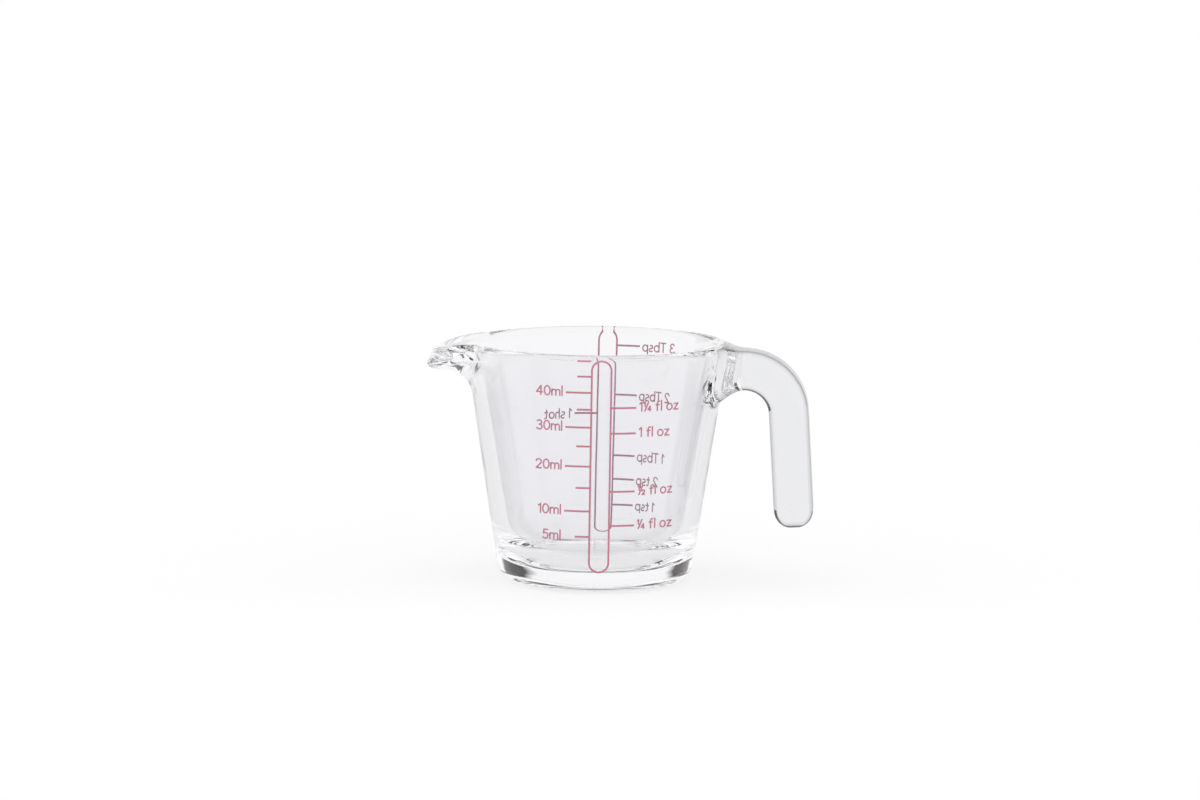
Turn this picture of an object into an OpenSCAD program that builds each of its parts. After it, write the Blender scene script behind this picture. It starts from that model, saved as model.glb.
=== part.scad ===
// Small pressed-glass measuring jug: a conical bowl with a pouring spout,
// an open handle that hangs down, and a fired-on scale at the front and back.
// The spout points along -X, the handle along +X, and the front scale faces -Y.
// The origin is the middle of the standing ring, on the table.

/* [Bowl] */
// Height from the table to the rim
jug_h = 47.2; // [42:0.2:56]
// Outside diameter where the wall line reaches the rim height
rim_d = 51.8; // [48:0.2:58]
// Outside diameter where the wall line reaches the table
foot_d = 37.6; // [34:0.2:42]
// Level thickness of the wall at the rim
rim_wall = 2.5; // [2:0.1:3.4]
// Level thickness of the wall at the floor
base_wall = 3.4; // [2.6:0.1:4.4]
// Thickness of the floor
floor_t = 3.6; // [3:0.1:6]
// Outside round of the foot
foot_round = 4; // [2.6:0.1:4.8]
// Inside round between the floor and the wall
inner_round = 10; // [5:0.1:11]
// Width of the flat ring that the jug stands on
ring_w = 3; // [2:0.1:5]
// Rise of the shallow hollow under the base
push_up = 0.8; // [0.4:0.1:1.5]

/* [Spout] */
// How far the end of the spout stands out beyond the wall line
spout_reach = 8.4; // [7:0.1:10]
// Half of the angle that the spout takes up around the rim
spout_half_angle = 27; // [22:1:34]
// Depth below the rim at which the spout leaves the wall
spout_drop = 9.3; // [8:0.1:12]
// Distance over which the underside curves out from the wall
spout_sweep = 4.6; // [3:0.1:5.6]
// Height of the slanting face at the end of the spout, between its rounds
lip_face = 2; // [1:0.1:2.6]
// Set-back of the lip from the end of the spout
lip_back = 1.7; // [0.6:0.1:2.4]
// Round under the end of the spout
nose_round = 1.5; // [1:0.1:2.4]
// Fall of the lip below the rim at its tip
lip_dip = 1.5; // [0.5:0.1:2]
// Depth below the rim at which the channel leaves the inside of the wall
channel_drop = 7.6; // [5:0.1:9]
// Depth of the channel where it ends at the lip
channel_end = 0.7; // [0.4:0.1:1.4]

/* [Handle] */
// Thickness of the bar, in the plane of its bend
handle_t = 7.8; // [6.2:0.1:8.6]
// Width of the bar
handle_w = 10.4; // [9:0.1:13]
// Round along the edges of the bar
handle_edge = 2.6; // [1:0.1:3.2]
// Distance from the jug's axis to the middle of the bend
bend_x = 29; // [28.6:0.1:33]
// Inside radius of the bend
bend_inner = 4.8; // [3:0.1:7]
// Depth of the top of the arm below the rim
arm_drop = 1.2; // [1:0.1:4]
// Outward lean of the leg
leg_lean = 3.7; // [0:0.1:8]
// Height of the free lower end above the table
leg_end_h = 11.2; // [6:0.1:16]
// Round of the free end, as a share of half the bar's thickness
end_round_share = 0.94; // [0.6:0.02:0.96]
// Side growth of the root at the wall
root_side = 4; // [2:0.1:5]
// Growth of the root above the arm
root_rise = 0.8; // [0.2:0.1:1]
// Growth of the root below the arm
root_fall = 2.8; // [1:0.1:4]

/* [Scale] */
// Thickness of the fired enamel
film = 0.12; // [0.08:0.01:0.3]
// Width of the enamel lines
line_w = 0.36; // [0.24:0.02:0.6]
// Depth below the rim of the mark for the full measure
full_mark_drop = 1; // [0.6:0.1:3]
// Outside width of the tall outline
gauge_w = 4.1; // [3:0.1:6]
// Height of the foot of the tall outline above the table
gauge_foot = 4.3; // [4.2:0.1:7]
// Length of a long tick
long_tick = 4.7; // [3:0.1:6]
// Length of a short tick
short_tick = 2.6; // [1.5:0.1:4]
// Turn of the front scale towards the handle
front_turn = 5.75; // [0:0.25:12]
// Turn of the back scale towards the handle
back_turn = 1.4; // [0:0.2:12]

/* [Hidden] */

glass = [0.9, 0.93, 0.94, 0.45];
enamel = [0.72, 0.2, 0.25];

// Marks as shares of the full measure: 50 ml, with an imperial fluid ounce of 28.4 ml,
// a tablespoon of 15 ml, a teaspoon of 5 ml and a single shot of 25 ml
ml_long_shares = [0.2, 0.4, 0.6, 0.8];
ml_short_shares = [0.1, 0.3, 0.5, 0.7, 0.9, 1];
floz_shares = [0.142, 0.284, 0.568, 0.71];
spoon_shares = [0.1, 0.2, 0.3, 0.6, 0.9];
shot_shares = [0.5];

// Depth of the spout at its sides, as a share of its depth at the middle
side_depth_share = 0.5;
// Width of the gap in the plain rim, as a share of the spout's width
notch_share = 0.97;

// Cuts run past the glass by this much, and blended skins start this far inside it
overrun = 1;
sink = 0.1;
// Wall lines run this far inside the rounds that they meet, so that they cross them cleanly
tuck = 0.004;
// Turn of the seam of the revolved glass, clear of the spout, the handle and the scales
seam_turn = 60;

// Fineness of the lofted skins and of the search for levels
spout_stations = 12;
arc_steps = 6;
root_steps = 8;
corner_steps = 6;
bend_steps = 14;
end_steps = 7;
level_slices = 60;
level_tries = 22;
$fn = 96;

// Straight wall lines of the bowl, as slopes and angles from upright
rim_r = rim_d / 2;
foot_r = foot_d / 2;
outer_slope = (rim_r - foot_r) / jug_h;
outer_lean = atan(outer_slope);
floor_r = foot_r + outer_slope * floor_t - base_wall;
inner_slope = (rim_r - rim_wall - floor_r) / (jug_h - floor_t);
inner_lean = atan(inner_slope);

// Full round of the rim, tangent to both wall lines
rim_round = rim_wall / (1 / cos(outer_lean) + 1 / cos(inner_lean) + outer_slope - inner_slope);
rim_c = [rim_r - outer_slope * rim_round - rim_round / cos(outer_lean), jug_h - rim_round];
// Round of the foot, tangent to the table and the outer wall line
foot_c = [foot_r + outer_slope * foot_round - foot_round / cos(outer_lean), foot_round];
// Round inside, tangent to the floor and the inner wall line
corner_z = floor_t + inner_round;
corner_c = [inside_r(corner_z) - inner_round / cos(inner_lean), corner_z];
// Sphere whose cap is the hollow under the base
ring_inner_r = foot_c.x - ring_w;
push_r = (ring_inner_r * ring_inner_r + push_up * push_up) / (2 * push_up);

// Lowest levels of the drawn-out wall of the spout and of the gap that it closes
spout_low = jug_h - lip_dip - spout_drop - overrun;
notch_low = jug_h - lip_dip - channel_drop - overrun / 2;
notch_high = jug_h - lip_dip - channel_end - overrun / 2
    - (channel_drop - channel_end) * pow(1 - rim_wall / (spout_reach - lip_back), 2);

// Handle levels and the centre line of the bend
arm_top = jug_h - arm_drop;
arm_bottom = arm_top - handle_t;
bend_r = bend_inner + handle_t / 2;
end_round = end_round_share * handle_t / 2;
bend_c = [bend_x, arm_bottom - bend_inner];
leg_start = bend_c + bend_r * [cos(leg_lean), sin(leg_lean)];
leg_len = (leg_start.y - leg_end_h - end_round) / cos(leg_lean);
leg_end = leg_start + leg_len * [sin(leg_lean), -cos(leg_lean)];

// Scale levels
full_mark_z = jug_h - full_mark_drop;
full_measure = held(full_mark_z);
gauge_top = full_mark_z + line_w / 2;

// Outer and inner radius of the wall lines at a height
function outside_r(z) = foot_r + outer_slope * z;
function inside_r(z) = floor_r + inner_slope * (z - floor_t);

// Radius of the hollow at a height, with the round at the floor
function round_depth(z) = max(corner_z - z, 0);
function round_loss(z) = inner_round - sqrt(inner_round * inner_round - pow(round_depth(z), 2));
function hollow_r(z) = inside_r(z) - round_loss(z);

// Liquid held up to a height, summed over level slices
function total(v) = v * [for (x = v) 1];
function held(z) =
    let (step = (z - floor_t) / level_slices)
    PI * step * total([for (i = [0.5 : level_slices]) pow(hollow_r(floor_t + i * step), 2)]);
// Height at which the bowl holds the given volume, by halving
function level_of(volume, low, high, tries) =
    let (mid = (low + high) / 2)
    tries == 0 ? mid :
    held(mid) < volume ? level_of(volume, mid, high, tries - 1) : level_of(volume, low, mid, tries - 1);
function mark_z(share) = level_of(share * full_measure, floor_t, jug_h, level_tries);

// Closed skin over a list of rings that all have the same even number of points
module skin(rings) {
    count = len(rings[0]);
    last = len(rings) - 1;
    sides = [
        for (i = [0 : last - 1], j = [0 : count - 1])
            let (a = i * count + j, b = i * count + (j + 1) % count)
            each [[a, b + count, b], [a, a + count, b + count]]
    ];
    start_cap = [
        for (j = [0 : count / 2 - 2])
            let (k = count - 1 - j)
            each [[j, j + 1, k], [j + 1, k - 1, k]]
    ];
    end_cap = [for (f = start_cap) [for (i = [2, 1, 0]) last * count + f[i]]];
    polyhedron([for (ring = rings) each ring], concat(sides, start_cap, end_cap));
}

// Arch of the spout across its half angle: 1 at the middle, 0 where its sides meet the wall
function arch(angle) = cos(90 * angle / spout_half_angle);
// Depth of the spout and of its channel, as a share of the depth at the middle
function depth_at(share) = side_depth_share + (1 - side_depth_share) * share;
// Steps of a quarter turn, from the first or the second of them on
function quarter(first) = [for (i = [0 : arc_steps]) 90 * (i + first) / (arc_steps + first)];
// Point at a radius and height, in the upright plane at an angle from the spout's own
function around(angle, r, z) = [-r * cos(angle), r * sin(angle), z];

// Profile of the wall, foot and floor in one upright half plane
module outer_profile() {
    polygon([
        [0, 0],
        [foot_c.x, 0],
        foot_c + (foot_round - tuck) * [cos(outer_lean), -sin(outer_lean)],
        rim_c + (rim_round - tuck) * [cos(outer_lean), -sin(outer_lean)],
        rim_c,
        [0, rim_c.y]
    ]);
    translate(foot_c) circle(foot_round);
    translate(rim_c) circle(rim_round);
}

module hollow_profile() {
    top = rim_c + (rim_round - tuck) * [-cos(inner_lean), sin(inner_lean)];
    polygon([
        [0, floor_t],
        [corner_c.x, floor_t],
        corner_c + (inner_round - tuck) * [cos(inner_lean), -sin(inner_lean)],
        top,
        [top.x, jug_h + overrun],
        [0, jug_h + overrun]
    ]);
    translate(corner_c) circle(inner_round);
}

module glass_profile() {
    difference() {
        outer_profile();
        difference() {
            hollow_profile();
            translate(rim_c) circle(rim_round);
        }
        translate([0, push_up - push_r]) circle(push_r);
    }
}

// Section of the wall at an angle, drawn out into the spout: up the outside, over the lip,
// then down the bed of the channel to the inside of the wall
function spout_section(angle) =
    let (
        share = arch(angle),
        open_share = max(share, 0),
        depth_share = depth_at(share),
        top = jug_h - sink - lip_dip * share * share,
        face_z = top - rim_round - depth_share * lip_face,
        nose = depth_share * nose_round,
        under_z = face_z - nose,
        root_z = face_z - depth_share * (spout_drop - rim_round - lip_face),
        sweep = share * spout_sweep,
        end_x = share * (spout_reach - nose_round),
        nose_out = share * nose_round,
        lip_x = share * (spout_reach - lip_back),
        under = [for (a = quarter(0)) [sweep * (1 - cos(a)), root_z + (under_z - root_z) * sin(a)]],
        end = [for (a = quarter(1)) [end_x + nose_out * sin(a), face_z - nose * cos(a)]],
        lip = [for (a = quarter(0)) [lip_x - rim_round * (1 - cos(a)), top - rim_round * (1 - sin(a))]],
        outside = [for (p = concat(under, end, lip)) [outside_r(p.y) - sink + p.x, p.y]],
        reach = open_share * (spout_reach - lip_back),
        edge = rim_round + open_share * (channel_end - rim_round),
        fall = depth_share * (channel_drop - channel_end),
        ridge = outside[len(outside) - 1],
        brink = [inside_r(top - edge) + sink + reach, top - edge],
        turn = [for (a = quarter(1)) [ridge.x + (brink.x - ridge.x) * sin(a), top - edge * (1 - cos(a))]],
        run = [for (i = [1 : 2 * arc_steps + 2]) 1 - i / (2 * arc_steps + 2)],
        bed = [for (u = run) [reach * u, brink.y - fall * pow(1 - u, 2)]],
        inside = [for (p = bed) [inside_r(p.y) + sink + p.x, p.y]],
        low = [[outside_r(spout_low) - sink, spout_low], [inside_r(spout_low) + sink, spout_low]]
    )
    [for (p = concat([low[0]], outside, turn, inside, [low[1]])) around(angle, p.x, p.y)];

module spout() {
    station = spout_half_angle / (spout_stations - 1);
    skin([for (i = [-spout_stations : spout_stations]) spout_section(i * station)]);
}

// Gap in the plain wall and rim that the spout closes
module notch() {
    half = notch_share * spout_half_angle;
    inner = inside_r(notch_low) - overrun;
    outer = rim_r + overrun;
    rotate_extrude(angle = 2 * half, start = 180 - half) polygon([
        [inner, notch_low],
        [inside_r(notch_low), notch_low],
        [outside_r(notch_high), notch_high],
        [outer, notch_high],
        [outer, jug_h + overrun],
        [inner, jug_h + overrun]
    ]);
}

module glass_body() {
    color(glass) union() {
        difference() {
            rotate_extrude(angle = 360, start = seam_turn) glass_profile();
            notch();
        }
        spout();
    }
}

// Rounded outline of the handle's section: first across its width, then across its thickness
function rounded_outline(half_w, half_t, edge) = [
    for (q = [0 : 3], i = [0 : corner_steps])
        let (
            a = 90 * (q + i / corner_steps),
            side = q == 0 || q == 3 ? 1 : -1,
            level = q < 2 ? 1 : -1
        )
        [side * (half_w - edge) + edge * cos(a), level * (half_t - edge) + edge * sin(a)]
];

// Ring of the flared root, from the wall at reach 0 to the start of the bend at reach 1
function root_ring(reach, inset) =
    let (
        growth = pow(1 - reach, 2),
        top = arm_top + root_rise * growth,
        bottom = arm_bottom - root_fall * growth,
        outline = rounded_outline(handle_w / 2 + root_side * growth, (top - bottom) / 2, handle_edge)
    )
    [
        for (p = outline)
            let (
                z = (top + bottom) / 2 + p.y,
                wall_x = sqrt(pow(outside_r(z) - inset, 2) - p.x * p.x)
            )
            [wall_x + reach * (bend_x - wall_x), p.x, z]
    ];

// Ring square to the centre line at a point, with its outer side facing the given angle
function bar_ring(centre, facing, half_w, half_t, edge) = [
    for (p = rounded_outline(half_w, half_t, edge))
        [centre.x + p.y * cos(facing), p.x, centre.y + p.y * sin(facing)]
];
function bend_ring(facing) =
    let (centre = bend_c + bend_r * [cos(facing), sin(facing)])
    bar_ring(centre, facing, handle_w / 2, handle_t / 2, handle_edge);
// Rings of the free end draw in along a quarter turn
function end_ring(turn) =
    let (inset = end_round * (1 - cos(turn)))
    bar_ring(
        leg_end + end_round * sin(turn) * [sin(leg_lean), -cos(leg_lean)],
        leg_lean,
        handle_w / 2 - inset,
        handle_t / 2 - inset,
        max(handle_edge - inset, sink)
    );

module handle() {
    root = [for (i = [1 : root_steps]) root_ring(i / root_steps, 0)];
    bend = [for (i = [1 : bend_steps]) bend_ring(90 + (leg_lean - 90) * i / bend_steps)];
    end = [for (i = [0 : end_steps]) end_ring(90 * i / end_steps)];
    color(glass) difference() {
        skin(concat([root_ring(0, overrun), root_ring(0, sink)], root, bend, end));
        rotate_extrude() outer_profile();
    }
}

// Thin layer on the outside of the wall and over the outer half of the rim
module enamel_profile() {
    low = gauge_foot - overrun;
    high = rim_c + (rim_round + film) * [cos(outer_lean), -sin(outer_lean)];
    difference() {
        union() {
            polygon([[0, low], [outside_r(low) + film / cos(outer_lean), low], high, [rim_c.x, high.y]]);
            intersection() {
                translate(rim_c) circle(rim_round + film);
                translate(rim_c - [0, rim_round]) square([rim_round + film, 2 * rim_round + film]);
            }
        }
        outer_profile();
    }
}

// Prints a flat drawing, x towards the handle and y up, onto the front or the back of the bowl
module print_on_wall(turn) {
    intersection() {
        rotate_extrude() enamel_profile();
        rotate([0, 0, turn]) rotate([90, 0, 0]) linear_extrude(rim_r + overrun) children();
    }
}

module print_front() {
    print_on_wall(front_turn) children();
}

module print_back() {
    mirror([0, 1, 0]) print_on_wall(back_turn) children();
}

module capsule(inset) {
    r = gauge_w / 2 - inset;
    ends = [gauge_foot + gauge_w / 2, gauge_top - gauge_w / 2];
    for (z = ends) translate([0, z]) circle(r);
    translate([-r, ends[0]]) square([2 * r, ends[1] - ends[0]]);
}

module gauge_outline() {
    difference() {
        capsule(0);
        capsule(line_w);
    }
}

// Row of ticks at the given shares of the full measure, on one side of the outline
module ticks(shares, length, side) {
    for (share = shares)
        translate([side * (gauge_w + length) / 2, mark_z(share)]) square([length, line_w], center = true);
}

module front_gauge_outline() {
    color(enamel) print_front() gauge_outline();
}

module front_ml_ticks() {
    color(enamel) print_front() {
        ticks(ml_long_shares, long_tick, -1);
        ticks(ml_short_shares, short_tick, -1);
    }
}

module front_floz_ticks() {
    color(enamel) print_front() ticks(floz_shares, long_tick, 1);
}

module back_gauge_outline() {
    color(enamel) print_back() gauge_outline();
}

module back_spoon_ticks() {
    color(enamel) print_back() ticks(spoon_shares, long_tick, 1);
}

module back_shot_tick() {
    color(enamel) print_back() ticks(shot_shares, long_tick, -1);
}

glass_body();
handle();
front_gauge_outline();
front_ml_ticks();
front_floz_ticks();
back_gauge_outline();
back_spoon_ticks();
back_shot_tick();
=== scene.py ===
import math

import bpy
from mathutils import Matrix, Vector


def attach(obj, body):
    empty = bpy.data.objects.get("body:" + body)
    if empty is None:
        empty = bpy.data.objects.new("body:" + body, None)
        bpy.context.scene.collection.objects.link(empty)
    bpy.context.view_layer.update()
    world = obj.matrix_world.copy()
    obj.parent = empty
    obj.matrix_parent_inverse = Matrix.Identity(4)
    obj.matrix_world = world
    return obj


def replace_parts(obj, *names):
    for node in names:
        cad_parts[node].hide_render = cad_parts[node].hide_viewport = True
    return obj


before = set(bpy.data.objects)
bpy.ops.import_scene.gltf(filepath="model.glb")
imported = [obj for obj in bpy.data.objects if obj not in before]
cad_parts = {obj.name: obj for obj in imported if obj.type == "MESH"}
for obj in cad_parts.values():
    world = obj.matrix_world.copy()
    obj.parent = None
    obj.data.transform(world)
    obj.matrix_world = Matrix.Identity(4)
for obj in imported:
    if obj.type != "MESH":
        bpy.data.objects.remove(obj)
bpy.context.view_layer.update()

MM = 0.001
WHITE = (1, 1, 1, 1)

# Bowl, in millimetres, the same values as the solids
JUG_H = 47.2
RIM_R = 25.9
FOOT_R = 18.8
RIM_WALL = 2.5
BASE_WALL = 3.4
FLOOR_T = 3.6
FOOT_ROUND = 4.0
INNER_ROUND = 10.0
RING_W = 3.0
PUSH_UP = 0.8
# The outside of the glass stays this far below the print
PRINT_GAP = 0.02

# Spout
SPOUT_REACH = 8.4
SPOUT_HALF = 27.0
SPOUT_DROP = 9.3
SPOUT_SWEEP = 4.6
LIP_FACE = 2.0
LIP_BACK = 1.7
NOSE_ROUND = 1.5
LIP_DIP = 1.5
CHANNEL_DROP = 7.6
CHANNEL_END = 0.7
SIDE_DEPTH = 0.5
CORNER_SOFT = 0.12
# Share of the spout from which the channel's bed is fully bowed
BOWED_FROM = 0.25

# Handle
HANDLE_T = 7.8
HANDLE_W = 10.4
HANDLE_EDGE = 2.6
LEAST_EDGE = 0.1
BEND_X = 29.0
BEND_INNER = 4.8
ARM_DROP = 1.2
LEG_LEAN = math.radians(3.7)
LEG_END_H = 11.2
END_ROUND = 0.94 * HANDLE_T / 2
ROOT_SIDE = 4.0
ROOT_RISE = 0.8
ROOT_FALL = 2.8
ROOT_LOW = JUG_H - ARM_DROP - HANDLE_T - ROOT_FALL
ROOT_RINGS = (0.07, 0.17, 0.29, 0.42, 0.56, 0.71, 0.86, 1.0)

# Print
FULL_MARK_Z = JUG_H - 1.0
LINE_W = 0.36
GAUGE_W = 4.1
GAUGE_FOOT = 4.3
FRONT_TURN = math.radians(5.75)
BACK_TURN = math.radians(1.4)
FIGURE_AT = 7.4
FIGURE_H = 1.78
FIGURE_W = 0.28
FRONT_RISE = 0.2
FIGURE_SPACE = 0.2
FIGURE_IN = 0.0
FIGURE_OUT = 0.1

# Labels: text and the volume that it marks, in millilitres
FULL_ML = 50
FLOZ_ML = 28.4
TBSP_ML = 15
TSP_ML = 5
SHOT_ML = 25
ML_LABELS = [("40ml", 40), ("30ml", 30), ("20ml", 20), ("10ml", 10), ("5ml", 5)]
FLOZ_LABELS = [("1¼ fl oz", 1.25 * FLOZ_ML), ("1 fl oz", FLOZ_ML)]
FLOZ_LABELS += [("½ fl oz", FLOZ_ML / 2), ("¼ fl oz", FLOZ_ML / 4)]
SPOON_LABELS = [("3 Tbsp", 3 * TBSP_ML), ("2 Tbsp", 2 * TBSP_ML), ("1 Tbsp", TBSP_ML)]
SPOON_LABELS += [("2 tsp", 2 * TSP_ML), ("1 tsp", TSP_ML)]
SHOT_LABELS = [("1 shot", SHOT_ML)]

# Mesh: columns round the bowl, and those on each side of the handle's middle that its root takes
COLUMNS = 120
HOLE_COLUMNS = 7
# Rows along the section, from the hollow underneath to the floor inside; the root ends at RIM_ROW of the rim
PUSH_ROWS = 6
FOOT_ROWS = 8
WALL_ROWS = 12
ROOT_ROWS = 4
SWEEP_ROWS = 5
NOSE_ROWS = 4
RIM_ROWS = (7, 6)
RIM_ROW = 3
CHANNEL_ROWS = 7
INSIDE_ROWS = 12
CORNER_ROWS = 8
FLOOR_ROWS = 6
# Rows beside the standing ring's edges: before and after its inner edge, and before its outer edge
RING_BEFORE = (0.5, 0.15)
RING_AFTER = (0.25, 1.2)
RING_END = 0.4
# The rim's rows are spread from this many degrees below the end of the wall
RIM_LEAD = 6
# Rings along the handle, after those of its root
BEND_RINGS = 14
LEG_RINGS = 9
END_RINGS = 7
SMOOTH_LEVELS = 1
# Strokes of the print: degrees to a step of an arc, and the turns that round off an open end
ARC_STEP = 18
ARC_LEAST = 3
STROKE_END_TURNS = (35, 62, 82)
SAME_POINT = 1e-6
OUTLINE_ROWS = 24
# Search for the height of a mark
LEVEL_SLICES = 60
LEVEL_HALVINGS = 22

# Glass: colours face on and edge on, the facing between them, and the share of glass painted paler by height
BOWL_CLEAR = (0.906, 0.904, 0.922, 1)
# Edge on the colour deepens partly for the longer path through the glass and partly as painted shade, dark
# outlines at the edges
BOWL_EDGE_TINT_AND_SHADE = (0.5, 0.5, 0.515, 1)
BOWL_EDGE_SPAN = (0.35, 0.95)
# Painted light: the base and the rim with the spout are painted paler, and the edge shade is left off there
BOWL_PAINTED_PALE_ENDS = [(0.13, 1.0), (0.27, 0.0), (0.76, 0.0), (0.93, 1.0)]
# The handle is greyer face on, partly for its thicker glass and partly as painted shade; its dark edge colour
# is mostly painted shade, dark outlines along its sides and bend
HANDLE_TINT_AND_SHADE = (0.83, 0.832, 0.85, 1)
HANDLE_RIM_TINT_AND_SHADE = (0.15, 0.153, 0.16, 1)
HANDLE_EDGE_SPAN = (0.25, 0.75)
HANDLE_ENDS = [(0.0, 0.0), (1.0, 0.0)]
# Paler colour painted at the base and at the rim and spout
END_PAINTED_PALE = (0.922, 0.92, 0.935, 1)
GLASS_IOR = 1.5
FACING_BLEND = 0.5
RIPPLE = {"Scale": 130.0, "Detail": 1.0}
RIPPLE_BUMP = {"Strength": 0.05, "Distance": 0.0003}
HAZE = {"Scale": 900.0, "Detail": 2.0}
HAZE_ROUGH = {"From_Min": 0.35, "From_Max": 0.8, "To_Min": 0.0, "To_Max": 0.03}

# Enamel
ENAMEL_DEEP = (0.72, 0.26, 0.35, 1)
ENAMEL_PALE = (0.84, 0.35, 0.45, 1)
ENAMEL_GLOSS = 0.4
ENAMEL_GRAIN = {"Scale": 1800.0, "Detail": 3.0}
ENAMEL_ROUGH = {"To_Min": 0.5, "To_Max": 0.7}
ENAMEL_BUMP = {"Strength": 0.15, "Distance": 0.00003}

# Floor, in metres
FLOOR_COLOUR = (0.25, 0.25, 0.25, 1)
FLOOR_ROUGH = 0.9
FLOOR_LIFT = 0.75
FLOOR_SIZE = 12.0
FLOOR_Z = -0.0001

# Light of the room by direction along +Y, behind the jug: the cosine of the angle to it, brightness
ROOM = [(0.0, 1.2), (0.5, 1.2), (0.58, 0.0), (0.84, 0.0), (0.9, 1.0)]
# On the spout's side, -X, the dark surround stands wider: directions there are read further along
SIDE_SHIFT = 0.22
BOUNCES = 40

# Camera, with its distance in metres and its lens and sensor in millimetres
CAMERA_DISTANCE = 0.98
CAMERA_TURN = math.radians(3.65)
CAMERA_RISE = math.radians(8.18)
CAMERA_ROLL = math.radians(0.62)
LENS = 150
SENSOR = 36
SHIFT_X = 0.0034
SHIFT_Y = 0.0498

OUTER_SLOPE = (RIM_R - FOOT_R) / JUG_H
OUTER_LEAN = math.atan(OUTER_SLOPE)
FLOOR_R = FOOT_R + OUTER_SLOPE * FLOOR_T - BASE_WALL
INNER_SLOPE = (RIM_R - RIM_WALL - FLOOR_R) / (JUG_H - FLOOR_T)
INNER_LEAN = math.atan(INNER_SLOPE)
RIM_ROUND = RIM_WALL / (1 / math.cos(OUTER_LEAN) + 1 / math.cos(INNER_LEAN) + OUTER_SLOPE - INNER_SLOPE)
RIM_CX = RIM_R - OUTER_SLOPE * RIM_ROUND - RIM_ROUND / math.cos(OUTER_LEAN)
CORNER_Z = FLOOR_T + INNER_ROUND

BODY, HANDLE = 0, 1


def lerp(a, b, t):
    return a + (b - a) * t


def outside_r(z):
    return FOOT_R + OUTER_SLOPE * z


def inside_r(z):
    return FLOOR_R + INNER_SLOPE * (z - FLOOR_T)


def steps(a, b, count):
    """count values from just after a up to b."""
    return [lerp(a, b, (i + 1) / count) for i in range(count)]


def turn(centre, radius, degrees):
    t = math.radians(degrees)
    return centre[0] + radius * math.cos(t), centre[1] + radius * math.sin(t)


def spout_share(angle):
    """Share of the spout at an angle from its middle: 1 there, easing to 0 past its sides."""
    raw = math.cos(math.radians(90 * min(abs(angle), 2 * SPOUT_HALF) / SPOUT_HALF))
    rest = (math.sqrt(1 + CORNER_SOFT ** 2) - 1) / 2
    return (raw + math.sqrt(raw * raw + CORNER_SOFT ** 2)) / 2 - rest


def underside_rows():
    """Shallow hollow under the base, standing ring and foot round."""
    foot_cx = outside_r(FOOT_ROUND) - FOOT_ROUND / math.cos(OUTER_LEAN)
    ring_r = foot_cx - RING_W
    push_r = (ring_r ** 2 + PUSH_UP ** 2) / (2 * PUSH_UP)
    early, late = (ring_r - d for d in RING_BEFORE)
    hollow = steps(0, early, PUSH_ROWS) + [late]
    rows = [(r, PUSH_UP - push_r + math.sqrt(push_r ** 2 - r * r)) for r in hollow]
    rows += [(r, 0.0) for r in [ring_r + d for d in RING_AFTER] + [foot_cx - RING_END]]
    flat = len(rows)
    foot = (foot_cx, FOOT_ROUND)
    rows += [turn(foot, FOOT_ROUND, a) for a in steps(-90, -math.degrees(OUTER_LEAN), FOOT_ROWS)]
    return rows, flat


def outside_rows(low_z, share):
    """Outside wall up to the face of the lip, drawn out under the spout."""
    depth = lerp(SIDE_DEPTH, 1, share)
    top = JUG_H - LIP_DIP * share * share
    face_z = top - RIM_ROUND - depth * LIP_FACE
    under_z = face_z - depth * NOSE_ROUND
    root_z = face_z - depth * (SPOUT_DROP - RIM_ROUND - LIP_FACE)
    rows = [(outside_r(z), z) for z in steps(low_z, ROOT_LOW, WALL_ROWS) + steps(ROOT_LOW, root_z, ROOT_ROWS)]
    for a in steps(0, 90, SWEEP_ROWS):
        t = math.radians(a)
        z = lerp(root_z, under_z, math.sin(t))
        rows.append((outside_r(z) + share * SPOUT_SWEEP * (1 - math.cos(t)), z))
    for a in steps(0, 90, NOSE_ROWS):
        t = math.radians(a)
        z = face_z - depth * NOSE_ROUND * math.cos(t)
        rows.append((outside_r(z) + share * (SPOUT_REACH - NOSE_ROUND * (1 - math.sin(t))), z))
    return rows


def rim_rows(share):
    """Round of the rim, thinner on the channel's side at the lip."""
    top = JUG_H - LIP_DIP * share * share
    centre = (RIM_CX + share * (SPOUT_REACH - LIP_BACK), top - RIM_ROUND)
    edge = lerp(RIM_ROUND, CHANNEL_END, share)
    start = -math.degrees(OUTER_LEAN) - RIM_LEAD
    rows = [turn(centre, RIM_ROUND, a) for a in steps(start, 90, RIM_ROWS[0])]
    for a in steps(90, 180 - math.degrees(INNER_LEAN), RIM_ROWS[1]):
        x, z = turn(centre, RIM_ROUND, a)
        rows.append((x, top - (top - z) * edge / RIM_ROUND))
    return rows


def inside_rows(brink, share):
    """Bed of the channel, inside wall, corner and floor."""
    over = brink[0] - inside_r(brink[1])
    fall = lerp(SIDE_DEPTH, 1, share) * (CHANNEL_DROP - CHANNEL_END)
    bowed = min(share / BOWED_FROM, 1)
    rows = []
    for u in steps(0, 1, CHANNEL_ROWS):
        z = brink[1] - fall * lerp(u, u * u, bowed)
        rows.append((inside_r(z) + over * (1 - u), z))
    corner_cx = inside_r(CORNER_Z) - INNER_ROUND / math.cos(INNER_LEAN)
    tangent_z = CORNER_Z - INNER_ROUND * math.sin(INNER_LEAN)
    rows += [(inside_r(z), z) for z in steps(rows[-1][1], tangent_z, INSIDE_ROWS)]
    corner = (corner_cx, CORNER_Z)
    rows += [turn(corner, INNER_ROUND, a) for a in steps(-math.degrees(INNER_LEAN), -90, CORNER_ROWS)]
    rows += [(r, FLOOR_T) for r in steps(corner_cx, 0, FLOOR_ROWS)[:-1]]
    return rows


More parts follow.
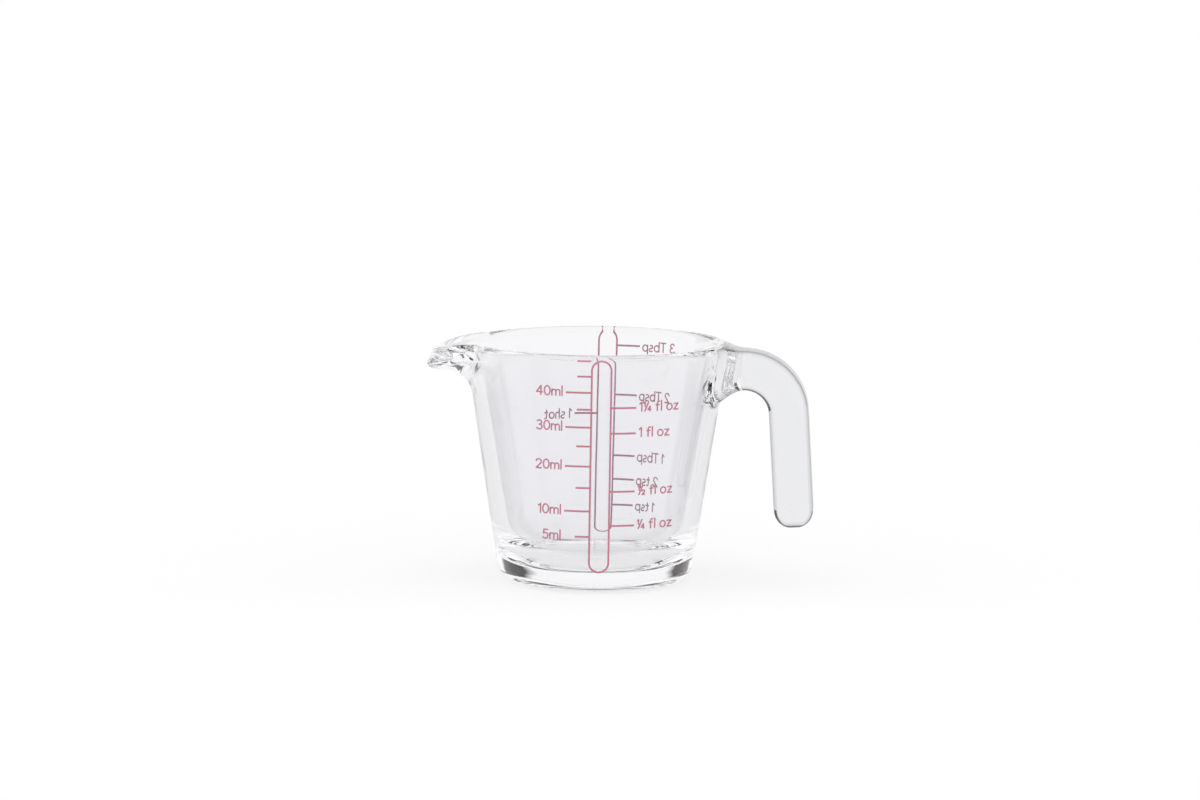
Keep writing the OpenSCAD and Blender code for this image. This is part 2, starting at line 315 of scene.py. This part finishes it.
def section(angle):
    """Points (radius, height) of the glass at an angle from the spout, from the middle of the underside to
    the middle of the floor, and the rows between which the handle's root grows. The outside stays a hair
    below the print, which keeps its red from being carried along inside the glass."""
    share = spout_share(angle)
    under, flat = underside_rows()
    wall = outside_rows(under[-1][1], share)
    rim = rim_rows(share)
    low = len(under) + WALL_ROWS - 1
    high = len(under) + len(wall) + RIM_ROW
    rows = under + wall + rim
    rows = [(r - PRINT_GAP if flat <= i <= high else r, z) for i, (r, z) in enumerate(rows)]
    return rows + inside_rows(rows[-1], share), low, high


class Cage:
    """Coarse mesh of the whole glass, each face marked as bowl or handle."""

    def __init__(self):
        self.verts, self.faces, self.kinds = [], [], []

    def add(self, point):
        self.verts.append(tuple(point))
        return len(self.verts) - 1

    def face(self, kind, *corners):
        self.faces.append(corners)
        self.kinds.append(kind)


def make_bowl(cage):
    """Adds the bowl with its spout; returns the loop that the handle grows from, and its counts."""
    grid = []
    for j in range(COLUMNS):
        phi = 360 * j / COLUMNS
        rows, low, high = section(phi - 180)
        c, s = math.cos(math.radians(phi)), math.sin(math.radians(phi))
        grid.append([cage.add((r * c, r * s, z)) for r, z in rows])
    count = len(grid[0])
    under = cage.add((0, 0, PUSH_UP))
    floor = cage.add((0, 0, FLOOR_T))
    for j in range(COLUMNS):
        k = (j + 1) % COLUMNS
        cage.face(BODY, under, grid[k][0], grid[j][0])
        cage.face(BODY, floor, grid[j][-1], grid[k][-1])
        at_root = j < HOLE_COLUMNS or j >= COLUMNS - HOLE_COLUMNS
        for i in range(count - 1):
            if not (at_root and low <= i < high):
                cage.face(BODY, grid[j][i], grid[k][i], grid[k][i + 1], grid[j][i + 1])
    cols = [j % COLUMNS for j in range(HOLE_COLUMNS, -HOLE_COLUMNS - 1, -1)]
    top = [grid[j][high] for j in cols]
    left = [grid[cols[-1]][i] for i in range(high, low - 1, -1)]
    bottom = [grid[j][low] for j in reversed(cols)]
    right = [grid[cols[0]][i] for i in range(low, high + 1)]
    return top[:-1] + left[:-1] + bottom[:-1] + right[:-1], len(cols) - 1, high - low


def rounded_loop(half_w, half_t, edge, across, along):
    """Points (y, v) round a rounded rectangle, from the middle of its +y outer corner on over the outside."""
    loop = []
    for side, count in enumerate((across, along, across, along)):
        half, other = (half_w, half_t) if side % 2 == 0 else (half_t, half_w)
        flat, arc = half - edge, edge * math.pi / 4
        for i in range(count):
            d = 2 * (flat + arc) * i / count
            if d < arc:
                p = turn((flat, other - edge), edge, 45 + math.degrees(d / edge))
            elif d < arc + 2 * flat:
                p = (flat - (d - arc), other)
            else:
                p = turn((-flat, other - edge), edge, 90 + math.degrees((d - arc - 2 * flat) / edge))
            for _ in range(side):
                p = (-p[1], p[0])
            loop.append(p)
    return loop


def root_ring(t, across, along):
    """Ring of the arm, a share t of the way from the wall to the bend, flared at the wall."""
    growth = (1 - t) ** 2
    high = JUG_H - ARM_DROP + ROOT_RISE * growth
    low = JUG_H - ARM_DROP - HANDLE_T - ROOT_FALL * growth
    half_w = HANDLE_W / 2 + ROOT_SIDE * growth
    ring = []
    for y, v in rounded_loop(half_w, (high - low) / 2, HANDLE_EDGE, across, along):
        z = (high + low) / 2 + v
        ring.append((lerp(math.sqrt(outside_r(z) ** 2 - y * y) - PRINT_GAP, BEND_X, t), y, z))
    return ring


def bar_ring(centre, facing, inset, across, along):
    """Ring of the bar round a centre, drawn in by inset on all sides."""
    c, s = math.cos(facing), math.sin(facing)
    edge = max(HANDLE_EDGE - inset, LEAST_EDGE)
    loop = rounded_loop(HANDLE_W / 2 - inset, HANDLE_T / 2 - inset, edge, across, along)
    return [(centre[0] + v * c, y, centre[1] + v * s) for y, v in loop]


def handle_rings(across, along):
    """Rings along the handle: root, bend, leg and rounded end."""
    bend_r = BEND_INNER + HANDLE_T / 2
    bend_c = (BEND_X, JUG_H - ARM_DROP - HANDLE_T - BEND_INNER)
    rings = [root_ring(t, across, along) for t in ROOT_RINGS]
    for a in steps(90, math.degrees(LEG_LEAN), BEND_RINGS):
        rings.append(bar_ring(turn(bend_c, bend_r, a), math.radians(a), 0, across, along))
    start = turn(bend_c, bend_r, math.degrees(LEG_LEAN))
    length = (start[1] - LEG_END_H - END_ROUND) / math.cos(LEG_LEAN)

    def down(d):
        return start[0] + d * math.sin(LEG_LEAN), start[1] - d * math.cos(LEG_LEAN)

    for d in steps(0, length, LEG_RINGS):
        rings.append(bar_ring(down(d), LEG_LEAN, 0, across, along))
    for a in steps(0, 90, END_RINGS):
        t = math.radians(a)
        inset = END_ROUND * (1 - math.cos(t))
        rings.append(bar_ring(down(length + END_ROUND * math.sin(t)), LEG_LEAN, inset, across, along))
    return rings


def close_end(cage, loop, across, along):
    """Fills the loop at the free end with a grid blended between its four sides."""
    count = len(loop)
    corners = [Vector(cage.verts[loop[i]]) for i in (0, across, across + along, 2 * across + along)]
    cells = {}
    for i in range(across + 1):
        for k in range(along + 1):
            top, low = loop[i], loop[2 * across + along - i]
            left, right = loop[across + k], loop[-k % count]
            u, v = i / across, k / along
            if k in (0, along):
                cells[i, k] = low if k else top
            elif i in (0, across):
                cells[i, k] = left if i else right
            else:
                a, b, c, d = (Vector(cage.verts[n]) for n in (top, low, right, left))
                blend = a * (1 - v) + b * v + c * (1 - u) + d * u
                blend -= corners[0] * (1 - u) * (1 - v) + corners[1] * u * (1 - v)
                blend -= corners[2] * u * v + corners[3] * (1 - u) * v
                cells[i, k] = cage.add(blend)
    for i in range(across):
        for k in range(along):
            cage.face(HANDLE, cells[i, k], cells[i + 1, k], cells[i + 1, k + 1], cells[i, k + 1])


def make_handle(cage, loop, across, along):
    """Grows the handle out of the loop in the bowl's wall."""
    count = len(loop)
    for ring in handle_rings(across, along):
        ids = [cage.add(p) for p in ring]
        for i in range(count):
            k = (i + 1) % count
            cage.face(HANDLE, loop[i], loop[k], ids[k], ids[i])
        loop = ids
    close_end(cage, loop, across, along)


def link(name, data):
    obj = bpy.data.objects.new(name, data)
    bpy.context.scene.collection.objects.link(obj)
    return obj


def piece_of(name, mesh, normals, kind, material):
    """The faces of one kind as a mesh of their own, with the whole surface's normals."""
    polys = [p for p in mesh.polygons if p.material_index == kind]
    used = sorted({v for p in polys for v in p.vertices})
    index = {v: i for i, v in enumerate(used)}
    part = bpy.data.meshes.new(name)
    faces = [[index[v] for v in p.vertices] for p in polys]
    part.from_pydata([mesh.vertices[v].co for v in used], [], faces)
    part.polygons.foreach_set("use_smooth", [True] * len(part.polygons))
    part.normals_split_custom_set_from_vertices([normals[v] for v in used])
    part.materials.append(material)
    return link(name, part)


def make_glass(bowl_glass, handle_glass):
    """One smooth glass surface, split into the bowl and the handle along the edge of the root."""
    cage = Cage()
    make_handle(cage, *make_bowl(cage))
    mesh = bpy.data.meshes.new("glass_cage")
    mesh.from_pydata([[c * MM for c in v] for v in cage.verts], [], cage.faces)
    for material in (bowl_glass, handle_glass):
        mesh.materials.append(material)
    mesh.polygons.foreach_set("material_index", cage.kinds)
    whole = link("glass_cage", mesh)
    smooth = whole.modifiers.new("smooth", "SUBSURF")
    smooth.levels = smooth.render_levels = SMOOTH_LEVELS
    fine = bpy.data.meshes.new_from_object(whole.evaluated_get(bpy.context.evaluated_depsgraph_get()))
    normals = [v.normal.copy() for v in fine.vertices]
    for name, kind, cad in (("bowl_and_spout", BODY, "glass_body"), ("hooked_handle", HANDLE, "handle")):
        piece = piece_of(name, fine, normals, kind, fine.materials[kind])
        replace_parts(piece, cad)
        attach(piece, "root")
    for old in (mesh, fine):
        bpy.data.meshes.remove(old)


def bow(cx, cy, rx, ry, first, last):
    """Points along part of an ellipse, between two angles in degrees."""
    count = max(int(abs(last - first) / ARC_STEP), ARC_LEAST)
    angles = [math.radians(lerp(first, last, i / count)) for i in range(count + 1)]
    return [(cx + rx * math.cos(a), cy + ry * math.sin(a)) for a in angles]


def oval(cx, cy, rx, ry):
    return bow(cx, cy, rx, ry, 0, 360)


LETTER_ARCH = bow(0.21, 0.43, 0.21, 0.22, 180, 0) + [(0.42, 0.0)]
LETTER_BOWL = oval(0.29, 0.33, 0.29, 0.34)
# Figures and letters as strokes on a unit height: width, strokes
GLYPHS = {
    "0": (0.6, [oval(0.3, 0.5, 0.3, 0.5)]),
    "1": (0.28, [[(0.02, 0.8), (0.24, 1.0)], [(0.24, 1.0), (0.24, 0.0)]]),
    "2": (0.58, [bow(0.29, 0.72, 0.27, 0.28, 170, -40) + [(0.03, 0.0)], [(0.03, 0.0), (0.57, 0.0)]]),
    "3": (0.55, [bow(0.26, 0.76, 0.24, 0.24, 150, -90), bow(0.26, 0.27, 0.29, 0.27, 90, -150)]),
    "4": (0.64, [[(0.47, 0.0), (0.47, 1.0)], [(0.47, 1.0), (0.02, 0.3)], [(0.02, 0.3), (0.63, 0.3)]]),
    "5": (0.57, [[(0.52, 1.0), (0.13, 1.0)], [(0.13, 1.0), (0.08, 0.56)],
                 bow(0.27, 0.32, 0.29, 0.32, 130, -140)]),
    "m": (0.84, [[(0.0, 0.0), (0.0, 0.65)], LETTER_ARCH,
                 [(x + 0.42, y) for x, y in LETTER_ARCH]]),
    "l": (0.08, [[(0.04, 0.0), (0.04, 1.04)]]),
    "f": (0.36, [bow(0.3, 0.8, 0.16, 0.22, 60, 180) + [(0.14, 0.0)], [(0.0, 0.64), (0.32, 0.64)]]),
    "o": (0.58, [LETTER_BOWL]),
    "z": (0.46, [[(0.02, 0.64), (0.44, 0.64)], [(0.44, 0.64), (0.02, 0.0)], [(0.02, 0.0), (0.46, 0.0)]]),
    "T": (0.62, [[(0.0, 1.0), (0.62, 1.0)], [(0.31, 1.0), (0.31, 0.0)]]),
    "b": (0.58, [[(0.0, 1.04), (0.0, 0.0)], LETTER_BOWL]),
    "s": (0.42, [bow(0.2, 0.49, 0.19, 0.17, 60, 270) + bow(0.2, 0.15, 0.2, 0.17, 90, -130)]),
    "p": (0.58, [[(0.0, 0.65), (0.0, -0.3)], LETTER_BOWL]),
    "t": (0.36, [[(0.14, 0.92), (0.14, 0.18)] + bow(0.29, 0.18, 0.15, 0.18, 200, 290),
                 [(0.0, 0.64), (0.34, 0.64)]]),
    "h": (0.42, [[(0.0, 1.04), (0.0, 0.0)], LETTER_ARCH]),
    " ": (0.16, []),
}


def half_size(name, x, y):
    """Strokes of a figure at half size, for a fraction."""
    return [[(x + 0.5 * u, y + 0.5 * v) for u, v in stroke] for stroke in GLYPHS[name][1]]


SLASH = [[(0.1, 0.0), (0.5, 1.0)]]
GLYPHS["½"] = (0.74, half_size("1", 0.0, 0.5) + SLASH + half_size("2", 0.44, 0.0))
GLYPHS["¼"] = (0.76, half_size("1", 0.0, 0.5) + SLASH + half_size("4", 0.43, 0.0))


def hollow_r(z):
    """Inside radius at a height, with the rounded corner of the floor."""
    lower = max(CORNER_Z - z, 0)
    return inside_r(z) - INNER_ROUND + math.sqrt(INNER_ROUND ** 2 - lower ** 2)


def held(z):
    """Liquid held up to a height."""
    step = (z - FLOOR_T) / LEVEL_SLICES
    return math.pi * step * sum(hollow_r(FLOOR_T + (i + 0.5) * step) ** 2 for i in range(LEVEL_SLICES))


def level_of(share):
    """Height at which the bowl holds a share of the full measure, by halving."""
    low, high = FLOOR_T, JUG_H
    for _ in range(LEVEL_HALVINGS):
        mid = (low + high) / 2
        low, high = (mid, high) if held(mid) < share * held(FULL_MARK_Z) else (low, mid)
    return mid


def strokes_of(text):
    """Strokes of a text, from left to right about its middle height, and its width."""
    x, out = 0.0, []
    for letter in text:
        width, strokes = GLYPHS[letter]
        out += [[((x + u) * FIGURE_H, (v - 0.5) * FIGURE_H) for u, v in stroke] for stroke in strokes]
        x += width + FIGURE_SPACE
    return out, (x - FIGURE_SPACE) * FIGURE_H


def stations(points, width):
    """Middle, left-hand normal and half width along a stroke; open ends are drawn in to a round."""
    closed = (Vector(points[0]) - Vector(points[-1])).length < SAME_POINT
    pts = [Vector(p) for p in (points[:-1] if closed else points)]
    out = []
    for i, p in enumerate(pts):
        before = pts[i - 1] if closed or i else p
        after = pts[(i + 1) % len(pts)] if closed or i + 1 < len(pts) else p
        t = (after - before).normalized()
        out.append((p, Vector((-t.y, t.x)), width / 2))
    if closed:
        return out + out[:1]
    for end, way in ((0, -1), (-1, 1)):
        p, n, half = out[end]
        ahead = Vector((n.y, -n.x)) * way
        turns = [math.radians(a) for a in STROKE_END_TURNS]
        tip = [(p + ahead * half * math.sin(t), n, half * math.cos(t)) for t in turns]
        out = tip[::-1] + out if end == 0 else out + tip
    return out


def on_wall(reading, z, back, lift):
    """A point of the flat drawing laid on the bowl, as the ticks are; reading runs left to right."""
    u = -reading if back else reading
    r = outside_r(z) + lift / math.cos(OUTER_LEAN)
    d = math.sqrt(r * r - u * u)
    facing = BACK_TURN if back else FRONT_TURN
    c, s = math.cos(facing), math.sin(facing)
    x, y = u * c + d * s, u * s - d * c
    return x * MM, (-y if back else y) * MM, z * MM


def add_stroke(verts, faces, points, back, width):
    """Adds one stroke as a thin closed band on the wall."""
    rows = []
    for p, n, half in stations(points, width):
        left, right = p + n * half, p - n * half
        row = [on_wall(q.x, q.y, back, lift) for lift in (FIGURE_OUT, FIGURE_IN) for q in (left, right)]
        rows.append(range(len(verts), len(verts) + 4))
        verts += row
    for (l0, r0, li0, ri0), (l1, r1, li1, ri1) in zip(rows, rows[1:]):
        faces += [(r0, r1, l1, l0), (li0, li1, ri1, ri0), (l0, l1, li1, li0), (r0, ri0, ri1, r1)]
    l0, r0, li0, ri0 = rows[0]
    l1, r1, li1, ri1 = rows[-1]
    faces += [(r0, l0, li0, ri0), (l1, r1, ri1, li1)]


def make_figures(name, labels, back, on_spout_side, material):
    """Row of labels beside the ticks. labels: text and volume."""
    verts, faces = [], []
    ends_at_tick = on_spout_side != back
    for text, volume in labels:
        strokes, width = strokes_of(text)
        start = -FIGURE_AT - width if ends_at_tick else FIGURE_AT
        z = level_of(volume / FULL_ML) + (0 if back else FRONT_RISE)
        for stroke in strokes:
            add_stroke(verts, faces, [(start + x, z + y) for x, y in stroke], back, FIGURE_W)
    return print_piece(name, verts, faces, material)


def make_back_outline(material):
    """Tall outline on the back; the round of the rim hides the top of its arch."""
    r = (GAUGE_W - LINE_W) / 2
    low = GAUGE_FOOT + GAUGE_W / 2
    high = FULL_MARK_Z + LINE_W / 2 - GAUGE_W / 2
    rim_start = JUG_H - RIM_ROUND - LINE_W / 2
    cut = math.degrees(math.asin((rim_start - high) / r))
    side = [(r, z) for z in steps(low, high, OUTLINE_ROWS)[:-1]]
    path = bow(0, high, r, r, 180 - cut, 180) + [(-x, z) for x, z in reversed(side)]
    path += bow(0, low, r, r, 180, 360) + side + bow(0, high, r, r, 0, cut)
    verts, faces = [], []
    add_stroke(verts, faces, path, True, LINE_W)
    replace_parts(print_piece("back_outline", verts, faces, material), "back_gauge_outline")


def print_piece(name, verts, faces, material):
    mesh = bpy.data.meshes.new(name)
    mesh.from_pydata(verts, [], faces)
    mesh.materials.append(material)
    piece = link(name, mesh)
    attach(piece, "root")
    return piece


def add_node(tree, kind, at, **inputs):
    n = tree.nodes.new(kind)
    n.location = at
    for key, value in inputs.items():
        n.inputs[key.replace("_", " ")].default_value = value
    return n


def new_material(name):
    material = bpy.data.materials.new(name)
    material.use_nodes = True
    tree = material.node_tree
    return material, tree, tree.nodes["Principled BSDF"]


def set_ramp(node, levels):
    """Grey levels at places along a colour ramp."""
    stops = node.color_ramp.elements
    while len(stops) < len(levels):
        stops.new(0.5)
    for stop, (at, level) in zip(stops, levels):
        stop.position = at
        stop.color = (level, level, level, 1)


def glass_material(name, clear, edge, edge_span, ends):
    """Clear glass, deeper in colour where it is seen edge on, partly for the longer path and partly as
    painted shade; ends: share of glass painted paler by height.
    """
    material, tree, bsdf = new_material(name)
    # Painted shade: the colour deepens as the surface turns edge on, beyond the deeper colour of the longer
    # path
    facing = add_node(tree, "ShaderNodeLayerWeight", (-900, 350), Blend=FACING_BLEND)
    tint_and_edge_shade = add_node(tree, "ShaderNodeValToRGB", (-650, 350))
    stops = tint_and_edge_shade.color_ramp.elements
    stops[0].position, stops[0].color = edge_span[0], clear
    stops[1].position, stops[1].color = edge_span[1], edge
    tree.links.new(facing.outputs["Facing"], tint_and_edge_shade.inputs["Fac"])
    # Painted light: by height, the base and the rim and spout are painted paler
    height = add_node(tree, "ShaderNodeSeparateXYZ", (-650, 650))
    level = add_node(tree, "ShaderNodeMapRange", (-450, 650), From_Max=JUG_H * MM)
    share = add_node(tree, "ShaderNodeValToRGB", (-250, 650))
    set_ramp(share, ends)
    colour = add_node(tree, "ShaderNodeMix", (-250, 400))
    colour.data_type = "RGBA"
    colour.inputs["B"].default_value = END_PAINTED_PALE
    tree.links.new(height.outputs["Z"], level.inputs["Value"])
    tree.links.new(level.outputs["Result"], share.inputs["Fac"])
    tree.links.new(share.outputs["Color"], colour.inputs["Factor"])
    tree.links.new(tint_and_edge_shade.outputs["Color"], colour.inputs["A"])
    tree.links.new(colour.outputs["Result"], bsdf.inputs["Base Color"])
    bsdf.inputs["Transmission Weight"].default_value = 1.0
    bsdf.inputs["IOR"].default_value = GLASS_IOR
    place = add_node(tree, "ShaderNodeTexCoord", (-900, 0))
    ripple = add_node(tree, "ShaderNodeTexNoise", (-700, -200), **RIPPLE)
    haze = add_node(tree, "ShaderNodeTexNoise", (-700, 100), **HAZE)
    rough = add_node(tree, "ShaderNodeMapRange", (-450, 100), **HAZE_ROUGH)
    bump = add_node(tree, "ShaderNodeBump", (-250, -200), **RIPPLE_BUMP)
    tree.links.new(place.outputs["Object"], height.inputs[0])
    tree.links.new(place.outputs["Object"], ripple.inputs["Vector"])
    tree.links.new(place.outputs["Object"], haze.inputs["Vector"])
    tree.links.new(haze.outputs["Fac"], rough.inputs["Value"])
    tree.links.new(rough.outputs["Result"], bsdf.inputs["Roughness"])
    tree.links.new(ripple.outputs["Fac"], bump.inputs["Height"])
    tree.links.new(bump.outputs["Normal"], bsdf.inputs["Normal"])
    return material


def enamel_material():
    """Fired enamel, a little grainy in colour, gloss and surface."""
    material, tree, bsdf = new_material("fired_red_enamel")
    bsdf.inputs["Specular IOR Level"].default_value = ENAMEL_GLOSS
    place = add_node(tree, "ShaderNodeTexCoord", (-900, 0))
    grain = add_node(tree, "ShaderNodeTexNoise", (-700, 100), **ENAMEL_GRAIN)
    ramp = add_node(tree, "ShaderNodeValToRGB", (-450, 150))
    ramp.color_ramp.elements[0].color = ENAMEL_DEEP
    ramp.color_ramp.elements[1].color = ENAMEL_PALE
    rough = add_node(tree, "ShaderNodeMapRange", (-450, -100), **ENAMEL_ROUGH)
    bump = add_node(tree, "ShaderNodeBump", (-250, -250), **ENAMEL_BUMP)
    tree.links.new(place.outputs["Object"], grain.inputs["Vector"])
    tree.links.new(grain.outputs["Fac"], ramp.inputs["Fac"])
    tree.links.new(grain.outputs["Fac"], rough.inputs["Value"])
    tree.links.new(ramp.outputs["Color"], bsdf.inputs["Base Color"])
    tree.links.new(rough.outputs["Result"], bsdf.inputs["Roughness"])
    tree.links.new(grain.outputs["Fac"], bump.inputs["Height"])
    tree.links.new(bump.outputs["Normal"], bsdf.inputs["Normal"])
    return material


def floor_material():
    """Pale floor; where the camera or the glass sees it, a little of its own light brings it to white."""
    material, tree, bsdf = new_material("pale_floor")
    bsdf.inputs["Base Color"].default_value = FLOOR_COLOUR
    bsdf.inputs["Roughness"].default_value = FLOOR_ROUGH
    bsdf.inputs["Specular IOR Level"].default_value = 0.0
    bsdf.inputs["Emission Color"].default_value = WHITE
    path = add_node(tree, "ShaderNodeLightPath", (-800, -200))
    either, seen, lift = (add_node(tree, "ShaderNodeMath", (x, -200)) for x in (-550, -400, -250))
    either.operation = seen.operation = "MAXIMUM"
    lift.operation = "MULTIPLY"
    lift.inputs[1].default_value = FLOOR_LIFT
    tree.links.new(path.outputs["Is Camera Ray"], either.inputs[0])
    tree.links.new(path.outputs["Is Glossy Ray"], either.inputs[1])
    tree.links.new(either.outputs[0], seen.inputs[0])
    tree.links.new(path.outputs["Is Transmission Ray"], seen.inputs[1])
    tree.links.new(seen.outputs[0], lift.inputs[0])
    tree.links.new(lift.outputs[0], bsdf.inputs["Emission Strength"])
    return material


def make_floor():
    h = FLOOR_SIZE / 2
    mesh = bpy.data.meshes.new("floor")
    corners = [(-h, -h, FLOOR_Z), (h, -h, FLOOR_Z), (h, h, FLOOR_Z), (-h, h, FLOOR_Z)]
    mesh.from_pydata(corners, [], [(0, 1, 2, 3)])
    mesh.materials.append(floor_material())
    link("floor", mesh)


def make_world():
    """A pale panel behind the jug with a dark surround, in an otherwise white room."""
    world = bpy.data.worlds.new("studio")
    bpy.context.scene.world = world
    world.use_nodes = True
    tree = world.node_tree
    back = tree.nodes["Background"]
    place = add_node(tree, "ShaderNodeTexCoord", (-900, 0))
    split = add_node(tree, "ShaderNodeSeparateXYZ", (-700, 0))
    ramp = add_node(tree, "ShaderNodeValToRGB", (-450, 0))
    set_ramp(ramp, ROOM)
    side = add_node(tree, "ShaderNodeMath", (-650, -150))
    side.operation = "SUBTRACT"
    side.use_clamp = True
    side.inputs[0].default_value = 0.0
    along = add_node(tree, "ShaderNodeMath", (-550, 0))
    along.operation = "MULTIPLY_ADD"
    along.inputs[1].default_value = SIDE_SHIFT
    back.inputs["Color"].default_value = WHITE
    tree.links.new(place.outputs["Generated"], split.inputs[0])
    tree.links.new(split.outputs["X"], side.inputs[1])
    tree.links.new(side.outputs[0], along.inputs[0])
    tree.links.new(split.outputs["Y"], along.inputs[2])
    tree.links.new(along.outputs[0], ramp.inputs["Fac"])
    tree.links.new(ramp.outputs["Color"], back.inputs["Strength"])


def make_camera():
    data = bpy.data.cameras.new("camera")
    data.lens = LENS
    data.sensor_width = SENSOR
    data.shift_x = SHIFT_X
    data.shift_y = SHIFT_Y
    camera = link("camera", data)
    flat = math.cos(CAMERA_RISE)
    back = Vector((math.sin(CAMERA_TURN) * flat, -math.cos(CAMERA_TURN) * flat, math.sin(CAMERA_RISE)))
    aim = (-back).to_track_quat("-Z", "Y").to_matrix().to_4x4()
    place = Matrix.Translation(Vector((0, 0, JUG_H / 2 * MM)) + back * CAMERA_DISTANCE)
    camera.matrix_world = place @ aim @ Matrix.Rotation(CAMERA_ROLL, 4, "Z")
    bpy.context.scene.camera = camera


def set_bounces(cycles):
    """Light is reflected many times inside thick glass before it leaves."""
    cycles.max_bounces = BOUNCES
    cycles.glossy_bounces = BOUNCES
    cycles.transmission_bounces = BOUNCES


def make_print(material):
    """The enamel on the marks of the frame, and the print that is made here."""
    for name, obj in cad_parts.items():
        if name not in ("glass_body", "handle"):
            obj.data.materials.clear()
            obj.data.materials.append(material)
    make_back_outline(material)
    make_figures("front_ml_figures", ML_LABELS, False, True, material)
    make_figures("front_floz_figures", FLOZ_LABELS, False, False, material)
    make_figures("back_spoon_figures", SPOON_LABELS, True, False, material)
    make_figures("back_shot_figure", SHOT_LABELS, True, True, material)


make_camera()
make_world()
make_floor()
# Bowl and handle glass, each with painted edge shade; the bowl's base, rim and spout are painted paler
make_glass(glass_material("bowl_glass", BOWL_CLEAR, BOWL_EDGE_TINT_AND_SHADE, BOWL_EDGE_SPAN, BOWL_PAINTED_PALE_ENDS),
           glass_material("handle_glass", HANDLE_TINT_AND_SHADE, HANDLE_RIM_TINT_AND_SHADE, HANDLE_EDGE_SPAN, HANDLE_ENDS))
make_print(enamel_material())
bpy.context.scene.view_settings.view_transform = "Standard"
set_bounces(bpy.context.scene.cycles)
